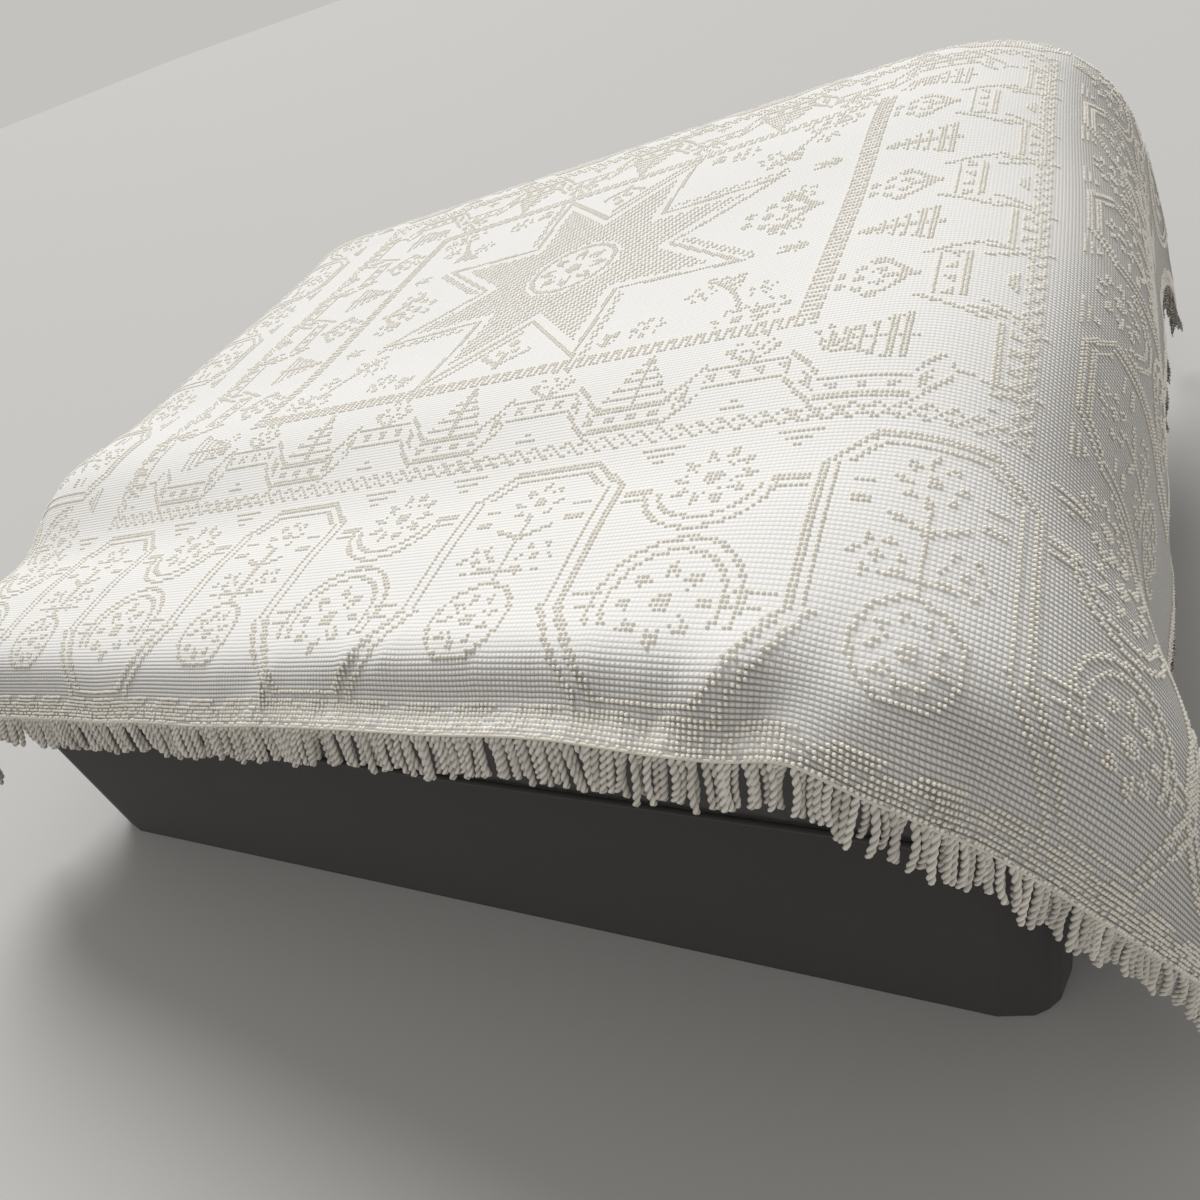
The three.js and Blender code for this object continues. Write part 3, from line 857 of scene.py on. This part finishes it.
def scatter(name, shapes, places, turns, sizes, marks, kinds, material):
    # one shape at each place, joined into one mesh
    cloud = bpy.data.meshes.new(name + "Places")
    cloud.vertices.add(len(places))
    cloud.vertices.foreach_set("co", np.ascontiguousarray(places, dtype=np.float32).ravel())
    for label, values in (("turn", turns), ("size", sizes)):
        layer = cloud.attributes.new(label, "FLOAT_VECTOR", "POINT")
        layer.data.foreach_set("vector", values.astype(np.float32).ravel())
    for label, values in marks.items():
        cloud.attributes.new(label, "FLOAT", "POINT").data.foreach_set("value", values.astype(np.float32))
    cloud.attributes.new("kind", "INT", "POINT").data.foreach_set("value", kinds.astype(np.int32))
    holder = place(name + "Holder", cloud)
    group = bpy.data.node_groups.new(name + "Scatter", "GeometryNodeTree")
    group.interface.new_socket("Geometry", in_out="INPUT", socket_type="NodeSocketGeometry")
    group.interface.new_socket("Geometry", in_out="OUTPUT", socket_type="NodeSocketGeometry")
    nodes, links = group.nodes, group.links
    start, end = nodes.new("NodeGroupInput"), nodes.new("NodeGroupOutput")
    spread = nodes.new("GeometryNodeInstanceOnPoints")
    gather = nodes.new("GeometryNodeGeometryToInstance")
    for shape in reversed(shapes):
        info = nodes.new("GeometryNodeObjectInfo")
        info.inputs["Object"].default_value = shape
        links.new(info.outputs["Geometry"], gather.inputs[0])
    links.new(start.outputs[0], spread.inputs["Points"])
    links.new(gather.outputs[0], spread.inputs["Instance"])
    spread.inputs["Pick Instance"].default_value = True
    for label, kind, socket in (("turn", "FLOAT_VECTOR", "Rotation"), ("size", "FLOAT_VECTOR", "Scale"),
                                ("kind", "INT", "Instance Index")):
        named = nodes.new("GeometryNodeInputNamedAttribute")
        named.data_type = kind
        named.inputs["Name"].default_value = label
        links.new(named.outputs["Attribute"], spread.inputs[socket])
    real = nodes.new("GeometryNodeRealizeInstances")
    links.new(spread.outputs[0], real.inputs[0])
    links.new(real.outputs[0], end.inputs[0])
    holder.modifiers.new("scatter", "NODES").node_group = group
    evaluated = holder.evaluated_get(bpy.context.evaluated_depsgraph_get())
    mesh = bpy.data.meshes.new_from_object(evaluated)
    mesh.name = name
    bpy.data.objects.remove(holder)
    for label in ("turn", "size", "kind"):
        if label in mesh.attributes:
            mesh.attributes.remove(mesh.attributes[label])
    mesh.materials.clear()
    mesh.materials.append(material)
    obj = place(name, mesh)
    obj.data.shade_smooth()
    return obj


dome = makeDome(5)
plainDome = makeDome(4)      # for the star and the end drops, which need fewer triangles
tuftPlaces, tuftNormals = hangCloth(tuftS, tuftT)
tuftSides = -np.gradient(tuftPlaces, axis=0)
tuftSides -= tuftNormals * (tuftSides * tuftNormals).sum(axis=2)[:, :, None]
tuftSides /= np.linalg.norm(tuftSides, axis=2)[:, :, None]


def makeTufts(name, mask, shape):
    picked = np.nonzero(mask)
    count = len(picked[0])
    ups = tuftNormals[picked]
    sides = tuftSides[picked]
    fronts = np.cross(ups, sides)
    sides, fronts = turnAbout(sides, fronts, dice.normal(0, tuftLoose["swing"], count)[:, None])
    places = tuftPlaces[picked] + ups * (cloth["thick"] / 2 - tuftSize["sink"])
    places = places + sides * dice.normal(0, tuftLoose["shift"], count)[:, None]
    places = places + fronts * dice.normal(0, tuftLoose["shift"], count)[:, None]
    base = np.array([tuftSize["along"], tuftSize["across"], tuftSize["high"]])
    sizes = base * dice.uniform(*tuftLoose["size"], (count, 3))
    marks = {"tint": dice.uniform(0, 1, count), "hangShare": gapOpening(ups)}
    turns = eulerFrom(sides, fronts, ups)
    obj = scatter(name, [shape], places, turns, sizes, marks, np.zeros(count), tuftYarn)
    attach(obj, "root")
    return obj


starPiece = makeTufts("starTufts", starTufts, plainDome)
borderPiece = makeTufts("borderTufts", borderTufts & ~starTufts, dome)
longDropPiece = makeTufts("longDropTufts", dropLong & ~borderTufts, dome)
endDropPiece = makeTufts("endDropTufts", (dropEnd | cornerTufts) & ~borderTufts & ~dropLong, plainDome)
hemPiece = makeTufts("hemTufts", hemTufts & ~dropLong & ~dropEnd & ~cornerTufts, dome)
for shape in (dome, plainDome):
    bpy.data.objects.remove(shape)
print("tufts made")

# twisted fringe

strand = {
    "long": 0.0590,
    "thick": 0.0094,
    "turns": -3.0,
    "pitch": 0.0078,
    "inset": {"foot": 0.016, "front": 0.004, "back": 0.004},
    "lobe": 0.50,          # share of the radius that the two plies swell by
    "taper": 0.10,
    "tip": 0.45,           # how much the very end is drawn in, past tipFrom
    "tipFrom": 0.985,
    "sag": 0.9,
    "kinds": ((0.000, 0.000), (0.005, 0.002), (-0.005, 0.003), (0.002, -0.004), (-0.004, -0.002)),
}

# how loosely the strands hang: leans as slopes, and places off the hem
fringeLoose = {
    "bunch": 0.085,
    "each": 0.035,
    "slow": 0.05,
    "slowCount": 40,       # strands from one slow lean to the next
    "bunchOut": 0.07,
    "eachOut": 0.05,
    "spin": 0.5,
    "inward": 0.002,
    "under": 0.0018,
    "shuffle": 0.0007,
}
edgeStep = 0.006           # flat distance in from a hem that tells which way is inward


def makeStrand(bend, rings, sides):
    # a two-ply cord that hangs down from the origin
    bm = bmesh.new()
    bmesh.ops.create_cone(bm, cap_ends=True, segments=sides, radius1=1, radius2=1, depth=1)
    strandMap = bm.loops.layers.uv.new("strand")
    upright = [e for e in bm.edges if abs(e.verts[0].co.z - e.verts[1].co.z) > 0.5]
    bmesh.ops.subdivide_edges(bm, edges=upright, cuts=rings - 1, use_grid_fill=True)
    flat = {}
    for vert in bm.verts:
        share = 0.5 - vert.co.z
        around = math.atan2(vert.co.y, vert.co.x) / (2 * math.pi)
        flat[vert.index] = (around, share)
        lobe = abs(math.cos(2 * math.pi * around))
        turned = 2 * math.pi * (around + strand["turns"] * share)
        radius = strand["thick"] / 2 * (1 - strand["lobe"] + strand["lobe"] * lobe)
        taper = 1 - strand["taper"] * share - (strand["tip"] if share > strand["tipFrom"] else 0)
        sway = math.sin(share * math.pi * strand["sag"])
        vert.co = Vector((radius * taper * math.cos(turned) + bend[0] * sway,
                          radius * taper * math.sin(turned) + bend[1] * sway,
                          -share * strand["long"]))
    for face in bm.faces:
        arounds = [flat[loop.vert.index][0] for loop in face.loops]
        wraps = max(arounds) - min(arounds) > 0.5
        for loop in face.loops:
            around, share = flat[loop.vert.index]
            loop[strandMap].uv = (around + 1 if wraps and around < 0 else around, share)
    bmesh.ops.recalc_face_normals(bm, faces=bm.faces)
    return addObject("strandShape", bm, [])


def sideLength(side):
    return cloth["width"] if side in ("foot", "head") else cloth["length"]


def hangEdge(side, marks):
    # places, outward normals and inward ways at the marks along one hem
    steps = np.array([0.0, edgeStep])
    hem = 0
    if side in ("head", "back"):
        steps = cloth["length" if side == "head" else "width"] - steps[::-1]
        hem = 1
    if side in ("foot", "head"):
        places, normals = hangCloth(steps, marks)
    else:
        places, normals = (grid.swapaxes(0, 1) for grid in hangCloth(marks, steps))
    return places[hem], normals[hem], places[1 - hem] - places[hem]


def unit(vectors):
    return vectors / np.linalg.norm(vectors, axis=1)[:, None]


def makeFringe(name, node, side, outward, lean, rings, sides):
    # strands hang from the hem, in loose bunches that lean together
    inset = strand["inset"][side]
    places, normals, inward = hangEdge(side, np.arange(inset, sideLength(side) - inset, strand["pitch"]))
    count = len(places)
    ways = unit(np.gradient(places, axis=0))
    bunch = np.repeat(dice.normal(0, 1, count), dice.integers(2, 6, count))[:count]
    bunch = np.convolve(bunch, [0.25, 0.5, 0.25], mode="same")
    bunchOut = np.repeat(dice.normal(0, 1, count), dice.integers(3, 7, count))[:count]
    stops = np.arange(0, count + fringeLoose["slowCount"], fringeLoose["slowCount"])
    slow = np.interp(np.arange(count), stops, dice.normal(0, 1, len(stops)))
    swayAlong = fringeLoose["bunch"] * bunch + fringeLoose["each"] * dice.normal(0, 1, count)
    swayAlong = swayAlong + fringeLoose["slow"] * slow
    swayOut = fringeLoose["bunchOut"] * bunchOut + fringeLoose["eachOut"] * dice.normal(0, 1, count)
    downs = np.array(lean)[None] + ways * swayAlong[:, None] + np.array(outward)[None] * swayOut[:, None]
    ups = -unit(downs)
    sideways = unit(ways - ups * (ways * ups).sum(axis=1)[:, None])
    spin = dice.uniform(-fringeLoose["spin"], fringeLoose["spin"], count)[:, None]
    sideways, fronts = turnAbout(sideways, np.cross(ups, sideways), spin)
    starts = places + unit(inward) * fringeLoose["inward"] - normals * fringeLoose["under"]
    starts = starts + ways * dice.normal(0, fringeLoose["shuffle"], count)[:, None]
    sizes = np.stack([dice.uniform(0.9, 1.1, count), dice.uniform(0.9, 1.1, count),
                      dice.uniform(0.86, 1.06, count)], 1)
    kinds = dice.integers(0, len(strand["kinds"]), count)
    shapes = [makeStrand(bend, rings, sides) for bend in strand["kinds"]]
    obj = scatter(name, shapes, starts, eulerFrom(sideways, fronts, ups), sizes,
                  {"tint": dice.uniform(0.65, 1.0, count)}, kinds, fringeYarn)
    for shape in shapes:
        bpy.data.objects.remove(shape)
    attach(obj, "root")
    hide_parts(node)
    return obj


frontFringe = makeFringe("frontFringe", "fringeFront", "front", (0, -1, 0), (-0.051, -0.208, -0.977), 26, 8)
footFringe = makeFringe("footFringe", "fringeFoot", "foot", (1, 0, 0), (0.08, 0, -1), 8, 6)
backFringe = makeFringe("backFringe", "fringeBack", "back", (0, 1, 0), (0, 0.12, -0.99), 8, 6)
print("fringe made")

# turned hem

hemRoll = {"radius": 0.0019, "step": 0.008, "waver": 0.0003}


def addTube(name, places, radius, material, closed=False):
    # a round cord along the places
    curve = bpy.data.curves.new(name, "CURVE")
    curve.dimensions = "3D"
    curve.bevel_depth = radius
    curve.bevel_resolution = 2
    curve.use_fill_caps = not closed
    spline = curve.splines.new("POLY")
    spline.points.add(len(places) - 1)
    spline.use_cyclic_u = closed
    for point, spot in zip(spline.points, places):
        point.co = (*spot, 1)
    holder = place(name + "Line", curve)
    mesh = bpy.data.meshes.new_from_object(holder.evaluated_get(bpy.context.evaluated_depsgraph_get()))
    bpy.data.objects.remove(holder)
    mesh.name = name
    mesh.materials.clear()
    mesh.materials.append(material)
    obj = place(name, mesh)
    obj.data.shade_smooth()
    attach(obj, "root")
    return obj


def makeHemRoll(name, side):
    # the cloth's turned edge, as a thin round roll
    length = sideLength(side)
    marks = np.linspace(0, length, int(length / hemRoll["step"]))
    places, normals, _ = hangEdge(side, marks)
    places = places + normals * dice.normal(0, hemRoll["waver"], len(marks))[:, None]
    obj = addTube(name, places, hemRoll["radius"], hemYarn)
    return obj


hemYarn = plainCloth("hem yarn", yarnLook["hem"], fibre["hem"])
hemPieces = [makeHemRoll("hem" + side.title(), side) for side in ("front", "foot", "back", "head")]
print("hem made")

# mattress and base

bed = {
    "bulge": 0.008,
    "rings": 8,
    "piping": 0.0045,
    "seam": 0.006,         # height of the lower piping over the mattress's foot
    "edge": 0.012,
    "square": 9,           # keeps the bulge square to the sides, except by the corners
    "rimAbove": 0.05,
    "near": 0.0001,
    "weld": 0.00002,
    "sharp": math.radians(50),
}


def copyOfNode(name):
    bm = bmesh.new()
    bm.from_mesh(bpy.data.objects[name].data)
    bmesh.ops.remove_doubles(bm, verts=bm.verts, dist=bed["weld"])
    return bm


def makeMattress():
    bm = copyOfNode("mattress")
    foot = min(v.co.z for v in bm.verts)

    def onFoot(vert):
        return abs(vert.co.z - foot) < bed["near"]

    rim = [v for v in bm.verts if v.co.z > foot + bed["rimAbove"]
           and any(onFoot(e.other_vert(v)) for e in v.link_edges)]
    low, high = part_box("mattress")
    middle = Vector(((low[0] + high[0]) / 2, (low[1] + high[1]) / 2, 0))
    half = Vector(((high[0] - low[0]) / 2, (high[1] - low[1]) / 2, 0))
    rim.sort(key=lambda v: math.atan2(v.co.y - middle.y, v.co.x - middle.x))
    tops = [v.co.copy() for v in rim]
    bottoms = [Vector((p.x, p.y, foot)) for p in tops]
    upright = [e for e in bm.edges if e.verts[0] in rim and onFoot(e.verts[1])
               or e.verts[1] in rim and onFoot(e.verts[0])]
    heights = {(round(p.x, 4), round(p.y, 4)): p.z for p in tops}
    bmesh.ops.subdivide_edges(bm, edges=upright, cuts=bed["rings"], use_grid_fill=True)
    for vert in bm.verts:
        top = heights.get((round(vert.co.x, 4), round(vert.co.y, 4)))
        if top is None:
            continue
        share = (vert.co.z - foot) / (top - foot)
        away = Vector(((vert.co.x - middle.x) / half.x, (vert.co.y - middle.y) / half.y, 0))
        away = Vector((away.x ** bed["square"], away.y ** bed["square"], 0))
        if away.length > 0:
            vert.co -= away.normalized() * bed["bulge"] * (1 - math.sin(math.pi * share))
    bmesh.ops.recalc_face_normals(bm, faces=bm.faces)
    for face in bm.faces:
        face.smooth = True
    for edge in bm.edges:
        edge.smooth = edge.calc_face_angle(0) < bed["sharp"]
    edging = plainCloth("piping", yarnLook["base"], fibre["hem"])
    seams = [[tuple(p) for p in tops], [(p.x, p.y, p.z + bed["seam"]) for p in bottoms]]
    piping = [addTube("mattressPiping" + str(k), seam, bed["piping"], edging, True)
              for k, seam in enumerate(seams)]
    obj = addObject("mattressBody", bm, [plainCloth("ticking", yarnLook["bed"], fibre["ticking"])])
    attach(obj, "root")
    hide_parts("mattress")


def makeBase():
    bm = copyOfNode("bedBase")
    bmesh.ops.recalc_face_normals(bm, faces=bm.faces)
    obj = addObject("baseBody", bm, [plainCloth("base cover", yarnLook["base"], fibre["base"])])
    edge = obj.modifiers.new("edge", "BEVEL")
    edge.width = bed["edge"]
    edge.segments = 3
    edge.angle_limit = bed["sharp"]
    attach(obj, "root")
    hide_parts("bedBase")


makeMattress()
makeBase()
print("bed made")

# floor, light and camera

# the eye's place, angles and lens are the output of a least-squares fit
room = {
    "floor": (0.47, 0.465, 0.455, 1),
    "eye": (0.2387, -1.3814, 0.5808),
    "yaw": 34.333,
    "pitch": 36.922,
    "roll": 20.487,
    "lens": 27.03,
    "floorSize": 60,
    "sky": (1.0, 0.98, 0.95, 1),
    "skyPower": 0.55,
}


def addFloor():
    bm = bmesh.new()
    bmesh.ops.create_grid(bm, x_segments=4, y_segments=4, size=room["floorSize"])
    material, _, shader = newMaterial("floor")
    shader.inputs["Base Color"].default_value = room["floor"]
    shader.inputs["Roughness"].default_value = 0.9
    addObject("floor", bm, [material])


def addSun(name, direction, spread, power, tone):
    light = bpy.data.lights.new(name, "SUN")
    light.angle = math.radians(spread)
    light.energy = power
    light.color = tone
    place(name, light).rotation_euler = Vector(direction).to_track_quat("Z", "Y").to_euler()


def addCamera():
    h, p, r = (math.radians(room[k]) for k in ("yaw", "pitch", "roll"))
    ahead = Vector((-math.sin(h) * math.cos(p), math.cos(h) * math.cos(p), -math.sin(p)))
    level = Vector((math.cos(h), math.sin(h), 0))
    under = ahead.cross(level)
    right = level * math.cos(r) + under * math.sin(r)
    down = under * math.cos(r) - level * math.sin(r)
    camera = bpy.data.cameras.new("camera")
    camera.lens = room["lens"]
    camera.sensor_width = 36
    camera.clip_start = 0.05
    turn = Matrix((right, -down, -ahead)).transposed().to_4x4()
    obj = place("camera", camera)
    obj.matrix_world = Matrix.Translation(Vector(room["eye"]) + Vector(clothShift)) @ turn
    bpy.context.scene.camera = obj


addFloor()
world = bpy.data.worlds.new("room")
world.use_nodes = True
sky = world.node_tree.nodes["Background"]
sky.inputs[0].default_value = room["sky"]
sky.inputs[1].default_value = room["skyPower"]
bpy.context.scene.world = world
addSun("windowLight", (-0.369, 0.527, 0.766), 30, 2.55, (0.99, 0.995, 1.0))
addCamera()
bpy.context.scene.view_settings.view_transform = "Standard"
print("room ready")
